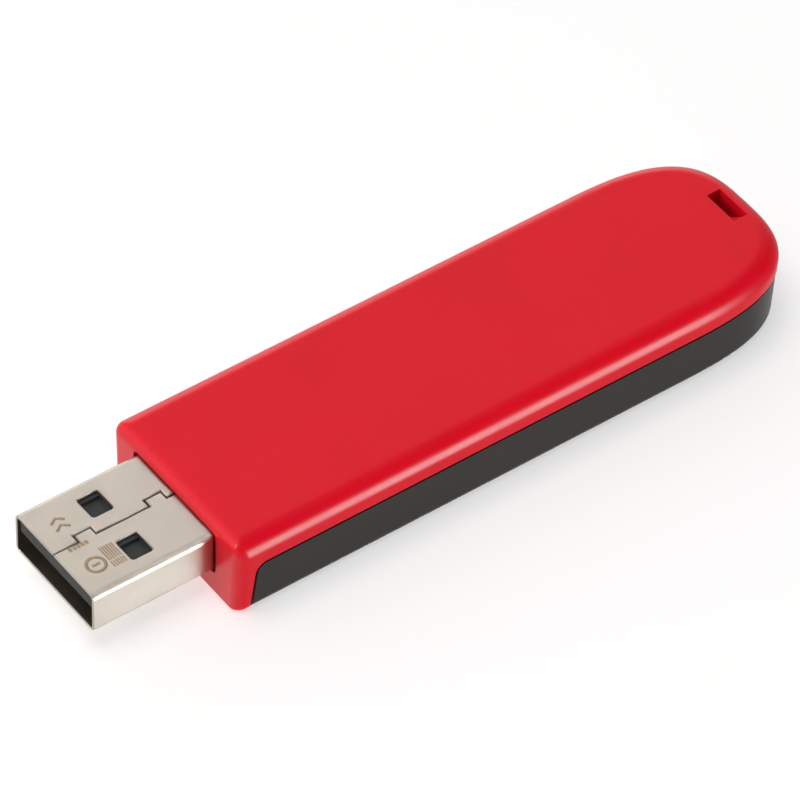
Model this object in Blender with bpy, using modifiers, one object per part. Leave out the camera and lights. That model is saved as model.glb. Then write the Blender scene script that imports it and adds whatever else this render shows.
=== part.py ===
"""USB flash drive: a two-part plastic case, a USB-A plug and a populated circuit board.

Lengths are in metres. X runs along the drive from the mouth of the plug to the rounded rear end,
Y runs across it and Z is up. The origin is midway along and across the drive, on its base.
"""
import math

import bmesh
import bpy
from mathutils import Matrix, Vector

mm = 0.001

# Case, outside
BODY_LENGTH = 63.0 * mm
BODY_WIDTH = 19.5 * mm
BODY_HEIGHT = 8.6 * mm
SIDE_DRAFT = 0.27 * mm           # how much further in each side lies at the base than at its widest
REAR_LENGTH = 15.0 * mm          # length of the curved rear end
REAR_POWER = 3.1                 # 2 is an ellipse, more is squarer
CORNER_ROUND = 1.2 * mm          # upright corners at the front
SMALLEST_CORNER = 0.3 * mm
TOP_ROUND = 1.8 * mm             # top edge, along the sides and rear
FRONT_TOP_ROUND = 1.25 * mm
BASE_ROUND = 1.0 * mm
FRONT_BASE_ROUND = 0.5 * mm

# Case, where the two covers meet
TOP_COVER_DEPTH = 3.0 * mm       # from the top of the case down to the line between the covers
FRONT_SHIELD_TOP = 1.95 * mm     # depth of the top cover's full-height front, at that line
FRONT_SHIELD_BASE = 1.45 * mm    # and at the base
SHIELD_ROUND = 1.1 * mm
COVER_GAP = 0.3 * mm
BASE_STEP = 0.05 * mm            # the bottom cover's skin lies this far inside the top cover's

# Case, inside
WALL = 1.3 * mm
ROOF = 0.9 * mm
FLOOR = 1.2 * mm
FRONT_WALL = 3.3 * mm
LIP_THICKNESS = 0.5 * mm
LIP_HEIGHT = 0.5 * mm
LIP_CLEARANCE = 0.15 * mm
SNAP_STATIONS = (14.0 * mm, 38.0 * mm)   # behind the front face
SNAP_LENGTH = 3.0 * mm
SNAP_THICKNESS = 0.6 * mm
SNAP_CATCH = 0.25 * mm
SNAP_CATCH_HEIGHT = 0.35 * mm
SNAP_LEDGE = 0.2 * mm
SNAP_CLEARANCE = 0.12 * mm
POST_RADIUS = 0.9 * mm
PIN_RADIUS = 0.55 * mm
POST_INSET = 1.2 * mm            # post centres from the long edges of the board
POST_FRONT_STATION = 5.6 * mm    # from the ends of the board
POST_REAR_STATION = 2.6 * mm

# Lanyard slot
SLOT_STATION = 2.5 * mm          # slot centre from the rear end
SLOT_LENGTH = 1.5 * mm
SLOT_WIDTH = 4.0 * mm
SLOT_WALL = 0.9 * mm
RAMP_LENGTH = 0.85 * mm
RAMP_WIDTH = 1.75 * mm
RAMP_DROP = 1.5 * mm

# USB-A plug
PLUG_REACH = 12.5 * mm           # outside the case
PLUG_DEPTH = 6.3 * mm            # inside the case
PLUG_WIDTH = 12.0 * mm
PLUG_HEIGHT = 4.5 * mm
PLUG_ROOF_GAP = 0.35 * mm        # between the plug and the roof inside the case
PLUG_SHEET = 0.3 * mm
PLUG_ROUND = 0.6 * mm
PLUG_RIM = 0.08 * mm
PLUG_CLEARANCE = 0.25 * mm       # around the plug in the case front
WINDOW_SETBACK = 5.2 * mm        # from the mouth to the near edge of the windows
WINDOW_LENGTH = 2.2 * mm
WINDOW_WIDTH = 2.6 * mm
WINDOW_SPACING = 6.0 * mm
WINDOW_ROUND = 0.3 * mm
SEAM_WIDTH = 0.14 * mm
SEAM_OFFSET = 0.1 * mm
SEAM_TAB_LENGTH = 1.8 * mm
SEAM_TAB_DEPTH = 0.9 * mm
SEAM_TAB_STATIONS = (3.55 * mm, 10.9 * mm)   # tab centres from the mouth
LEG_WIDTH = 1.2 * mm
LEG_REACH = 2.4 * mm             # behind the shell
LEG_ARM_HEIGHT = 0.8 * mm

# Insulator and contacts
TONGUE_THICKNESS = 1.84 * mm
TONGUE_SETBACK = 0.25 * mm
TONGUE_CHAMFER = 0.25 * mm
INSULATOR_CLEARANCE = 0.1 * mm
BLOCK_FRONT = 11.3 * mm          # from the mouth to the face of the solid block
POCKET_DEPTH = 0.45 * mm
POCKET_LEDGE = 0.35 * mm
CONTACT_WIDTH = 1.0 * mm
CONTACT_THICKNESS = 0.25 * mm
CONTACT_PROUD = 0.05 * mm
CONTACT_CLEARANCE = 0.1 * mm
CONTACT_TAIL = 2.5 * mm          # behind the shell
CONTACT_STEP = 0.5 * mm
CONTACT_DROP = 0.41 * mm         # from the face of the tongue down to the top of the board
CONTACTS = {                     # name: (across the plug, start from the mouth)
    "ground_contact": (-3.5 * mm, 2.6 * mm),
    "data_plus_contact": (-1.0 * mm, 3.6 * mm),
    "data_minus_contact": (1.0 * mm, 3.6 * mm),
    "vbus_contact": (3.5 * mm, 2.6 * mm),
}

# Circuit board and its components
BOARD_THICKNESS = 1.0 * mm
BOARD_FRONT = 0.5 * mm           # behind the shell
BOARD_REAR = 5.5 * mm            # ahead of the rear end
BOARD_SIDE_GAP = 1.1 * mm
BOARD_CORNER = 2.0 * mm
BOARD_CLEARANCE = 0.3 * mm       # to posts, pins and legs
SOLDER_GAP = 0.05 * mm
NAND_SIZE = (18.4 * mm, 12.0 * mm, 1.0 * mm)
NAND_STATION = 22.7 * mm         # chip centre from the front of the board
NAND_LEADS = 24
CONTROLLER_SIZE = (7.0 * mm, 7.0 * mm, 1.4 * mm)
CONTROLLER_STATION = 7.9 * mm
CONTROLLER_LEADS = 12
LEAD_PITCH = 0.5 * mm
LEAD_WIDTH = 0.22 * mm
LEAD_THICKNESS = 0.15 * mm
LEAD_REACH = 0.9 * mm
LEAD_SHOULDER = 0.36 * mm        # out from the package, where a lead turns down
LEAD_FOOT = 0.5 * mm             # and where it lies down on the board
CHIP_STANDOFF = 0.1 * mm
CHIP_EDGE = 0.12 * mm
CRYSTAL_SIZE = (5.0 * mm, 3.2 * mm, 1.1 * mm)
CRYSTAL_PLACE = (13.0 * mm, 3.2 * mm)        # from the front of the board, across it
CRYSTAL_RIM = 0.35 * mm
CRYSTAL_BASE = 0.66 * mm         # height of the wider base under the lid
REGULATOR_SIZE = (2.9 * mm, 1.4 * mm, 1.0 * mm)
REGULATOR_PLACE = (12.0 * mm, -3.6 * mm)
REGULATOR_LEG_SIZE = (0.44 * mm, 1.26 * mm, 0.3 * mm)
REGULATOR_LEGS = ((-0.95 * mm, -1), (0.95 * mm, -1), (0.0, 1))   # along the package, side
END_CAP_SHARE = 0.2              # of the length of a capacitor or resistor, at each end
END_CAP_PROUD = 0.03 * mm
CAPACITOR_SIZE = (1.6 * mm, 0.8 * mm, 0.8 * mm)
CAPACITOR_PLACES = (
    (18.5 * mm, 4.2 * mm),
    (18.5 * mm, 1.8 * mm),
    (18.5 * mm, -1.8 * mm),
    (18.5 * mm, -4.2 * mm),
    (8.0 * mm, 4.0 * mm),
    (8.0 * mm, -4.0 * mm),
)
RESISTOR_SIZE = (1.0 * mm, 0.5 * mm, 0.35 * mm)
RESISTOR_PLACES = (
    (8.0 * mm, 1.2 * mm),
    (8.0 * mm, -1.2 * mm),
    (22.5 * mm, 3.0 * mm),
    (22.5 * mm, 0.0 * mm),
    (22.5 * mm, -3.0 * mm),
)

# Fineness
CORNER_STEPS = 5
ROUND_STEPS = 9
REAR_STEPS = 48
CYLINDER_STEPS = 20
OVERRUN = 1.0 * mm               # how far a cutter runs past what it cuts

# Places that follow from the sizes above
MOUTH_X = -(PLUG_REACH + BODY_LENGTH) / 2
FACE_X = MOUTH_X + PLUG_REACH
REAR_X = FACE_X + BODY_LENGTH
SHELL_END_X = FACE_X + PLUG_DEPTH
PARTING_HEIGHT = BODY_HEIGHT - TOP_COVER_DEPTH
INNER_ROOF = BODY_HEIGHT - ROOF
PLUG_TOP = INNER_ROOF - PLUG_ROOF_GAP
PLUG_FLOOR = PLUG_TOP - PLUG_HEIGHT
TONGUE_TOP = PLUG_TOP - PLUG_SHEET - INSULATOR_CLEARANCE
TONGUE_FACE = TONGUE_TOP - TONGUE_THICKNESS
BOARD_X = SHELL_END_X + BOARD_FRONT
BOARD_END_X = REAR_X - BOARD_REAR
BOARD_TOP = TONGUE_FACE - CONTACT_DROP
BOARD_BASE = BOARD_TOP - BOARD_THICKNESS
BOARD_HALF_WIDTH = BODY_WIDTH / 2 - WALL - BOARD_SIDE_GAP
POST_PLACES = [
    (x, side * (BOARD_HALF_WIDTH - POST_INSET))
    for x in (BOARD_X + POST_FRONT_STATION, BOARD_END_X - POST_REAR_STATION)
    for side in (-1, 1)
]
PIN_PLACES = POST_PLACES[2:]


# Scene and materials

def start_scene():
    for old in list(bpy.data.objects):
        bpy.data.objects.remove(old)
    drive = bpy.data.collections.new("usb_flash_drive")
    cutters = bpy.data.collections.new("cutters")
    for group in (drive, cutters):
        bpy.context.scene.collection.children.link(group)
    return drive, cutters


DRIVE, CUTTERS = start_scene()


def make_material(name, colour, roughness, metallic=0.0):
    made = bpy.data.materials.new(name)
    made.use_nodes = True
    made.diffuse_color = (*colour, 1.0)
    shader = made.node_tree.nodes["Principled BSDF"]
    shader.inputs["Base Color"].default_value = (*colour, 1.0)
    shader.inputs["Roughness"].default_value = roughness
    shader.inputs["Metallic"].default_value = metallic
    return made


RED_PLASTIC = make_material("red_plastic", (0.70, 0.02, 0.035), 0.38)
BLACK_PLASTIC = make_material("black_plastic", (0.05, 0.045, 0.042), 0.42)
NICKEL = make_material("nickel_plated_steel", (0.62, 0.58, 0.53), 0.3, 1.0)
GREY_NYLON = make_material("grey_nylon", (0.04, 0.042, 0.042), 0.5)
GOLD = make_material("gold_plate", (0.83, 0.60, 0.24), 0.25, 1.0)
BOARD_GREEN = make_material("board_green", (0.02, 0.16, 0.07), 0.4)
CHIP_EPOXY = make_material("chip_epoxy", (0.02, 0.02, 0.022), 0.5)
CRYSTAL_STEEL = make_material("crystal_steel", (0.7, 0.7, 0.68), 0.3, 1.0)
CERAMIC_TAN = make_material("ceramic_tan", (0.45, 0.31, 0.19), 0.5)
RESISTOR_BLACK = make_material("resistor_black", (0.03, 0.03, 0.03), 0.5)


# Solids

def add_object(name, mesh_builder, material=None):
    """A named object: a part if it has a material, or else a cutter."""
    mesh = bpy.data.meshes.new(name)
    mesh_builder.to_mesh(mesh)
    mesh_builder.free()
    made = bpy.data.objects.new(name, mesh)
    if material:
        mesh.materials.append(material)
        DRIVE.objects.link(made)
    else:
        CUTTERS.objects.link(made)
        made.display_type = "WIRE"
        made.hide_render = True
    return made


def box(name, low, high, material=None):
    shape = bmesh.new()
    size = Vector(high) - Vector(low)
    middle = (Vector(high) + Vector(low)) / 2
    place = Matrix.Translation(middle) @ Matrix.Diagonal((*size, 1.0))
    bmesh.ops.create_cube(shape, size=1.0, matrix=place)
    return add_object(name, shape, material)


def cylinder(name, x, y, radius, low, high, material=None):
    shape = bmesh.new()
    place = Matrix.Translation((x, y, (low + high) / 2))
    bmesh.ops.create_cone(shape, cap_ends=True, segments=CYLINDER_STEPS, radius1=radius, radius2=radius,
                          depth=high - low, matrix=place)
    return add_object(name, shape, material)


def prism(name, outline, plane, low, high, material=None):
    """An outline in the XY, XZ or YZ plane, extruded along the third axis."""
    place = {
        "XY": lambda a, b: (a, b, low),
        "XZ": lambda a, b: (a, low, b),
        "YZ": lambda a, b: (low, a, b),
    }[plane]
    along = {"XY": Vector((0, 0, 1)), "XZ": Vector((0, 1, 0)), "YZ": Vector((1, 0, 0))}[plane]
    shape = bmesh.new()
    corners = [shape.verts.new(place(a, b)) for a, b in outline]
    face = shape.faces.new(corners)
    grown = bmesh.ops.extrude_face_region(shape, geom=[face])
    moved = [item for item in grown["geom"] if isinstance(item, bmesh.types.BMVert)]
    bmesh.ops.translate(shape, verts=moved, vec=along * (high - low))
    bmesh.ops.recalc_face_normals(shape, faces=shape.faces)
    return add_object(name, shape, material)


def loft(name, rings, material=None):
    """A closed solid through rings of points, capped at both ends."""
    shape = bmesh.new()
    loops = []
    for ring in rings:
        corners = [shape.verts.new(point) for point in ring]
        pairs = zip(corners, corners[1:] + corners[:1])
        loops.append([shape.edges.new(pair) for pair in pairs])
    for lower, upper in zip(loops, loops[1:]):
        bmesh.ops.bridge_loops(shape, edges=lower + upper)
    for end in (loops[0], loops[-1]):
        bmesh.ops.edgeloop_fill(shape, edges=end)
    bmesh.ops.recalc_face_normals(shape, faces=shape.faces)
    return add_object(name, shape, material)


def boolean(target, tool, operation):
    step = target.modifiers.new(operation.lower() + "_" + tool.name, "BOOLEAN")
    step.operation = operation
    step.solver = "EXACT"
    step.object = tool


def cut(target, *tools):
    for tool in tools:
        boolean(target, tool, "DIFFERENCE")


def join(target, *tools):
    for tool in tools:
        boolean(target, tool, "UNION")


def round_edges(target, width, segments=2, angle=60.0):
    step = target.modifiers.new("rounded_edges", "BEVEL")
    step.width = width
    step.segments = segments
    step.limit_method = "ANGLE"
    step.angle_limit = math.radians(angle)


# Outlines

def arc(centre, radius, start, end, steps):
    """Points of an arc, with its angles in degrees."""
    angles = [math.radians(start + (end - start) * i / steps) for i in range(steps + 1)]
    return [(centre[0] + radius * math.cos(a), centre[1] + radius * math.sin(a)) for a in angles]


def rounded_rectangle(low, high, radius, steps=CORNER_STEPS):
    (x0, y0), (x1, y1) = low, high
    return (
        arc((x1 - radius, y1 - radius), radius, 0, 90, steps)
        + arc((x0 + radius, y1 - radius), radius, 90, 180, steps)
        + arc((x0 + radius, y0 + radius), radius, 180, 270, steps)
        + arc((x1 - radius, y0 + radius), radius, 270, 360, steps)
    )


def ribbon(path, width):
    """The outline of a strip of even width along an open path."""
    sides = ([], [])
    for i, point in enumerate(path):
        here = Vector(point)
        before = (here - Vector(path[max(i - 1, 0)])).normalized()
        after = (Vector(path[min(i + 1, len(path) - 1)]) - here).normalized()
        heading = (before + after).normalized()
        across = Vector((-heading.y, heading.x))
        spread = (after if i == 0 else before).dot(heading)
        for side, sign in zip(sides, (1, -1)):
            side.append(tuple(here + across * (sign * width / 2 / spread)))
    return sides[0] + sides[1][::-1]


def case_outline(side_inset, front_inset, corner):
    """Plan of the case as (x, y, weight), where weight is 0 on the front and 1 on the sides."""
    half = BODY_WIDTH / 2 - side_inset
    front = FACE_X + front_inset
    bend_x = REAR_X - REAR_LENGTH
    bend = REAR_LENGTH - side_inset
    points = []
    for i in range(CORNER_STEPS + 1):
        turn = math.pi / 2 * i / CORNER_STEPS
        x = front + corner * (1 - math.cos(turn))
        points.append((x, corner * (1 - math.sin(turn)) - half, i / CORNER_STEPS))
    for i in range(REAR_STEPS + 1):
        turn = math.pi * (i / REAR_STEPS - 0.5)
        x = bend_x + bend * max(math.cos(turn), 0.0) ** (2 / REAR_POWER)
        y = math.copysign(half * abs(math.sin(turn)) ** (2 / REAR_POWER), turn)
        points.append((x, y, 1.0))
    points += [(x, -y, weight) for x, y, weight in points[CORNER_STEPS::-1]]
    return points


def draft_at(height):
    widest = BODY_HEIGHT - TOP_ROUND
    return SIDE_DRAFT * max(1 - height / widest, 0.0)


def rounded_ring(level, up, angle, skin, side_round, front_round):
    """One ring of a rounded edge: at 0 degrees it lies on the flat face, at 90 on the wall."""
    lean = 1 - math.sin(math.radians(angle))
    rise = 1 - math.cos(math.radians(angle))
    side_inset = skin + side_round * lean + draft_at(level + up * side_round * rise)
    corner = max(CORNER_ROUND - skin - side_round * lean, SMALLEST_CORNER)
    outline = case_outline(side_inset, skin + front_round * lean, corner)
    return [
        (x, y, level + up * rise * (front_round + (side_round - front_round) * weight))
        for x, y, weight in outline
    ]


def case_block(name, skin, material=None):
    """The whole case as one solid with rounded edges, its skin moved in by a small step."""
    steps = [90 * i / ROUND_STEPS for i in range(ROUND_STEPS + 1)]
    base = [rounded_ring(0.0, 1, a, skin, BASE_ROUND, FRONT_BASE_ROUND) for a in steps]
    top = [rounded_ring(BODY_HEIGHT, -1, a, skin, TOP_ROUND, FRONT_TOP_ROUND) for a in steps[::-1]]
    return loft(name, base + top, material)


def case_core(name, inset, front_inset, low, high):
    """A straight-walled solid that follows the plan of the case."""
    corner = max(CORNER_ROUND - inset, SMALLEST_CORNER)
    rings = [
        [(x, y, z) for x, y, _ in case_outline(inset + draft_at(z), front_inset, corner)]
        for z in (low, high)
    ]
    return loft(name, rings)


def base_region(name, grow):
    """The part of space that the bottom cover takes, seen from the side."""
    top = PARTING_HEIGHT + grow
    corner = SHIELD_ROUND + grow
    front = FACE_X + FRONT_SHIELD_TOP - grow
    foot = FACE_X + FRONT_SHIELD_BASE - grow
    slope = (front - foot) / (top - corner)
    outline = [(foot - slope * OVERRUN, -OVERRUN)]
    outline += arc((front + corner, top - corner), corner, 180, 90, CORNER_STEPS + 2)
    outline += [(REAR_X + OVERRUN, top), (REAR_X + OVERRUN, -OVERRUN)]
    return prism(name, outline, "XZ", -BODY_WIDTH, BODY_WIDTH)


# Case

def lanyard_cutters(name, low, high):
    """A slot across the rear end, with a ramp left standing in one of its corners."""
    x = REAR_X - SLOT_STATION - SLOT_LENGTH / 2
    y = -SLOT_WIDTH / 2
    ramp_x = x + RAMP_LENGTH
    ramp_y = y + RAMP_WIDTH
    wide = box(name + "_wide", (x, ramp_y, low), (x + SLOT_LENGTH, -y, high))
    narrow = box(name + "_narrow", (ramp_x, y, low), (x + SLOT_LENGTH, ramp_y + SLOT_WALL, high))
    return [wide, narrow]


def ramp_cutter():
    x = REAR_X - SLOT_STATION - SLOT_LENGTH / 2
    y = -SLOT_WIDTH / 2
    end_y = y + RAMP_WIDTH + SEAM_WIDTH
    above = BODY_HEIGHT + OVERRUN
    outline = [(y, BODY_HEIGHT), (end_y, BODY_HEIGHT - RAMP_DROP), (end_y, above), (y, above)]
    return prism("slot_ramp", outline, "YZ", x, x + RAMP_LENGTH + SEAM_WIDTH)


def lanyard_boss(name, low, high):
    x = REAR_X - SLOT_STATION - SLOT_LENGTH / 2 - SLOT_WALL
    y = SLOT_WIDTH / 2 + SLOT_WALL
    return box(name, (x, -y, low), (REAR_X - WALL, y, high))


def plug_opening(name):
    gap = PLUG_CLEARANCE
    half = PLUG_WIDTH / 2 + gap
    outline = rounded_rectangle((-half, PLUG_FLOOR - gap), (half, PLUG_TOP + gap), PLUG_ROUND)
    return prism(name, outline, "YZ", FACE_X - OVERRUN, FACE_X + FRONT_WALL + OVERRUN)


def snap_face(height):
    return BODY_WIDTH / 2 - draft_at(height) - WALL


def snap_levels():
    low = PARTING_HEIGHT + LIP_HEIGHT + COVER_GAP + SNAP_LEDGE
    return low, low + SNAP_CATCH_HEIGHT


def make_top_cover():
    cover = case_block("top_cover", 0.0, RED_PLASTIC)
    seat = PARTING_HEIGHT + COVER_GAP / 2
    cut(cover, base_region("top_cover_below", COVER_GAP / 2))
    cut(cover, case_core("top_cover_inside", WALL, FRONT_WALL, -OVERRUN, INNER_ROOF))
    join(cover, lanyard_boss("top_cover_boss", seat, INNER_ROOF + ROOF / 2))
    lip_outer = WALL - LIP_THICKNESS - LIP_CLEARANCE
    rebate = case_core("top_cover_rebate", lip_outer, FRONT_WALL - LIP_THICKNESS,
                       PARTING_HEIGHT - OVERRUN, PARTING_HEIGHT + LIP_HEIGHT + COVER_GAP / 2)
    cut(rebate, case_core("rebate_middle", WALL + LIP_CLEARANCE, FRONT_WALL + LIP_CLEARANCE,
                          PARTING_HEIGHT - 2 * OVERRUN, PARTING_HEIGHT + 2 * OVERRUN))
    cut(cover, rebate)
    add_snap_pockets(cover)
    for i, (x, y) in enumerate(POST_PLACES):
        foot = BOARD_TOP + BOARD_CLEARANCE
        join(cover, cylinder(f"top_post_{i}", x, y, POST_RADIUS, foot, INNER_ROOF + ROOF / 2))
    cut(cover, plug_opening("top_plug_opening"))
    cut(cover, *lanyard_cutters("top_slot", PARTING_HEIGHT - OVERRUN, BODY_HEIGHT + OVERRUN))
    cut(cover, ramp_cutter())
    return cover


def add_snap_pockets(cover):
    low, high = snap_levels()
    face = snap_face(low)
    reach = SNAP_LENGTH / 2 + BOARD_CLEARANCE
    for i, station in enumerate(SNAP_STATIONS):
        x = FACE_X + station
        for side in (-1, 1):
            ends = sorted((side * (face - SNAP_CATCH), side * (face + 2 * SNAP_CATCH)))
            cut(cover, box(f"snap_pocket_{i}_{'left' if side > 0 else 'right'}",
                           (x - reach, ends[0], low - SNAP_CLEARANCE),
                           (x + reach, ends[1], high + SNAP_CLEARANCE)))


def make_bottom_cover():
    cover = case_block("bottom_cover", BASE_STEP, BLACK_PLASTIC)
    seat = PARTING_HEIGHT - COVER_GAP / 2
    below = base_region("bottom_cover_region", -COVER_GAP / 2)
    boolean(cover, below, "INTERSECT")
    cut(cover, case_core("bottom_cover_inside", WALL, FRONT_WALL, FLOOR, BODY_HEIGHT))
    lip = case_core("bottom_cover_lip", WALL - LIP_THICKNESS, FRONT_WALL - LIP_THICKNESS,
                    seat - LIP_HEIGHT, PARTING_HEIGHT + LIP_HEIGHT - COVER_GAP / 2)
    cut(lip, case_core("lip_middle", WALL, FRONT_WALL, 0.0, BODY_HEIGHT))
    join(cover, lip)
    join(cover, lanyard_boss("bottom_cover_boss", FLOOR / 2, seat))
    add_snaps(cover)
    for i, (x, y) in enumerate(POST_PLACES):
        head = BOARD_BASE - BOARD_CLEARANCE
        join(cover, cylinder(f"bottom_post_{i}", x, y, POST_RADIUS, FLOOR / 2, head))
    for i, (x, y) in enumerate(PIN_PLACES):
        head = BOARD_TOP - SOLDER_GAP
        join(cover, cylinder(f"board_pin_{i}", x, y, PIN_RADIUS, BOARD_BASE - BOARD_THICKNESS, head))
    cut(cover, plug_opening("bottom_plug_opening"))
    cut(cover, *lanyard_cutters("bottom_slot", -OVERRUN, BODY_HEIGHT))
    return cover


def add_snaps(cover):
    """Four upright tabs whose catches reach into the top cover's walls."""
    low, high = snap_levels()
    outer = snap_face(0.0) - SNAP_CLEARANCE
    catch = snap_face(low) + SNAP_CATCH
    for i, station in enumerate(SNAP_STATIONS):
        x = FACE_X + station
        for side in (-1, 1):
            outline = [
                (outer - SNAP_THICKNESS, FLOOR / 2),
                (outer, FLOOR / 2),
                (outer, low),
                (catch, low),
                (outer, high),
                (outer - SNAP_THICKNESS, high),
            ]
            outline = [(side * y, z) for y, z in outline]
            join(cover, prism(f"snap_{i}_{'left' if side > 0 else 'right'}", outline, "YZ",
                              x - SNAP_LENGTH / 2, x + SNAP_LENGTH / 2))


# Plug

def make_plug_shell():
    half = PLUG_WIDTH / 2
    outline = rounded_rectangle((-half, PLUG_FLOOR), (half, PLUG_TOP), PLUG_ROUND)
    shell = prism("usb_plug_shell", outline, "YZ", MOUTH_X, SHELL_END_X, NICKEL)
    inner = half - PLUG_SHEET
    bore = rounded_rectangle((-inner, PLUG_FLOOR + PLUG_SHEET), (inner, PLUG_TOP - PLUG_SHEET),
                             PLUG_ROUND - PLUG_SHEET)
    cut(shell, prism("plug_bore", bore, "YZ", MOUTH_X - OVERRUN, SHELL_END_X + OVERRUN))
    round_edges(shell, PLUG_RIM)
    for side in (-1, 1):
        join(shell, plug_leg(side))
    cut(shell, *window_cutters())
    cut(shell, seam_cutter())
    return shell


def plug_leg(side):
    """A flat leg that runs back from the shell's side and down through the board."""
    arm = BOARD_TOP + BOARD_CLEARANCE
    end = SHELL_END_X + LEG_REACH
    outline = [
        (SHELL_END_X - LEG_REACH, arm),
        (end - LEG_WIDTH, arm),
        (end - LEG_WIDTH, BOARD_BASE - BOARD_CLEARANCE),
        (end, BOARD_BASE - BOARD_CLEARANCE),
        (end, arm + LEG_ARM_HEIGHT),
        (SHELL_END_X - LEG_REACH, arm + LEG_ARM_HEIGHT),
    ]
    faces = sorted((side * PLUG_WIDTH / 2, side * (PLUG_WIDTH / 2 - PLUG_SHEET)))
    return prism(f"leg_{'left' if side > 0 else 'right'}", outline, "XZ", *faces)


def window_box(side):
    x = MOUTH_X + WINDOW_SETBACK
    y = side * WINDOW_SPACING / 2
    return (x, y - WINDOW_WIDTH / 2), (x + WINDOW_LENGTH, y + WINDOW_WIDTH / 2)


def window_cutters():
    """Two windows in the top of the shell and two below them in its underside."""
    made = []
    for side in (-1, 1):
        outline = rounded_rectangle(*window_box(side), WINDOW_ROUND)
        name = f"windows_{'left' if side > 0 else 'right'}"
        made.append(prism(name, outline, "XY", PLUG_FLOOR - OVERRUN, PLUG_TOP + OVERRUN))
    return made


def seam_cutter():
    """The joint of the folded shell: a fine slit with two interlocking tabs."""
    path = [(MOUTH_X - OVERRUN, SEAM_OFFSET)]
    for station in SEAM_TAB_STATIONS:
        start = MOUTH_X + station - SEAM_TAB_LENGTH / 2
        end = MOUTH_X + station + SEAM_TAB_LENGTH / 2
        tip = SEAM_OFFSET + SEAM_TAB_DEPTH
        path += [(start, SEAM_OFFSET), (start, tip), (end, tip), (end, SEAM_OFFSET)]
    path.append((SHELL_END_X + OVERRUN, SEAM_OFFSET))
    return prism("seam", ribbon(path, SEAM_WIDTH), "XY", PLUG_TOP - PLUG_SHEET - SEAM_WIDTH,
                 PLUG_TOP + OVERRUN)


def make_insulator():
    """A block in the rear of the shell and a tongue under its top, channelled for the contacts."""
    half = PLUG_WIDTH / 2 - PLUG_SHEET - INSULATOR_CLEARANCE
    low = PLUG_FLOOR + PLUG_SHEET + INSULATOR_CLEARANCE
    front = MOUTH_X + TONGUE_SETBACK
    block = MOUTH_X + BLOCK_FRONT
    end = SHELL_END_X - INSULATOR_CLEARANCE
    outline = [
        (front, TONGUE_FACE + TONGUE_CHAMFER),
        (front + TONGUE_CHAMFER, TONGUE_FACE),
        (block, TONGUE_FACE),
        (block, low),
        (end, low),
        (end, TONGUE_TOP),
        (front + TONGUE_CHAMFER, TONGUE_TOP),
        (front, TONGUE_TOP - TONGUE_CHAMFER),
    ]
    insulator = prism("plug_insulator", outline, "XZ", -half, half, GREY_NYLON)
    reach = CONTACT_WIDTH / 2 + CONTACT_CLEARANCE
    channel_low = TONGUE_FACE - CONTACT_PROUD - CONTACT_CLEARANCE
    channel_high = TONGUE_FACE - CONTACT_PROUD + CONTACT_THICKNESS + CONTACT_CLEARANCE
    for name, (y, start) in CONTACTS.items():
        x = MOUTH_X + start - CONTACT_CLEARANCE
        cut(insulator, box(name + "_channel", (x, y - reach, channel_low),
                           (end + OVERRUN, y + reach, channel_high)))
    for side in (-1, 1):
        (x0, y0), (x1, y1) = window_box(side)
        cut(insulator, box(f"pocket_{'left' if side > 0 else 'right'}",
                           (x0, y0, TONGUE_TOP - POCKET_DEPTH),
                           (x1, y1 - POCKET_LEDGE, TONGUE_TOP + OVERRUN)))
    return insulator


def make_contact(name, y, start):
    """A flat spring that runs under the tongue, steps down and lies on the board."""
    run = TONGUE_FACE - CONTACT_PROUD + CONTACT_THICKNESS / 2
    pad = BOARD_TOP + SOLDER_GAP + CONTACT_THICKNESS / 2
    bend = BOARD_X + CONTACT_STEP / 2
    path = [
        (MOUTH_X + start, run),
        (bend, run),
        (bend + CONTACT_STEP, pad),
        (SHELL_END_X + CONTACT_TAIL, pad),
    ]
    return prism(name, ribbon(path, CONTACT_THICKNESS), "XZ", y - CONTACT_WIDTH / 2,
                 y + CONTACT_WIDTH / 2, GOLD)


# Circuit board

def make_board():
    half = BOARD_HALF_WIDTH
    rear = (
        arc((BOARD_END_X - BOARD_CORNER, half - BOARD_CORNER), BOARD_CORNER, 90, 0, CORNER_STEPS)
        + arc((BOARD_END_X - BOARD_CORNER, BOARD_CORNER - half), BOARD_CORNER, 0, -90, CORNER_STEPS)
    )
    outline = [(BOARD_X, -half), (BOARD_X, half)] + rear
    board = prism("circuit_board", outline, "XY", BOARD_BASE, BOARD_TOP, BOARD_GREEN)
    low, high = BOARD_BASE - OVERRUN, BOARD_TOP + OVERRUN
    end = SHELL_END_X + LEG_REACH
    gap = BOARD_CLEARANCE
    for side in (-1, 1):
        outer = side * (PLUG_WIDTH / 2 + gap)
        inner = side * (PLUG_WIDTH / 2 - PLUG_SHEET - gap)
        cut(board, box(f"leg_slot_{'left' if side > 0 else 'right'}",
                       (end - LEG_WIDTH - gap, min(outer, inner), low),
                       (end + gap, max(outer, inner), high)))
    for i, (x, y) in enumerate(PIN_PLACES):
        cut(board, cylinder(f"pin_hole_{i}", x, y, PIN_RADIUS + gap, low, high))
    return board


def board_box(name, place, size, up, material, lift=SOLDER_GAP):
    """A box that stands on the board's top (up = 1) or hangs from its underside (up = -1)."""
    x = BOARD_X + place[0]
    base = BOARD_TOP + lift if up > 0 else BOARD_BASE - lift
    levels = sorted((base, base + up * size[2]))
    return box(name, (x - size[0] / 2, place[1] - size[1] / 2, levels[0]),
               (x + size[0] / 2, place[1] + size[1] / 2, levels[1]), material)


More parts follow.
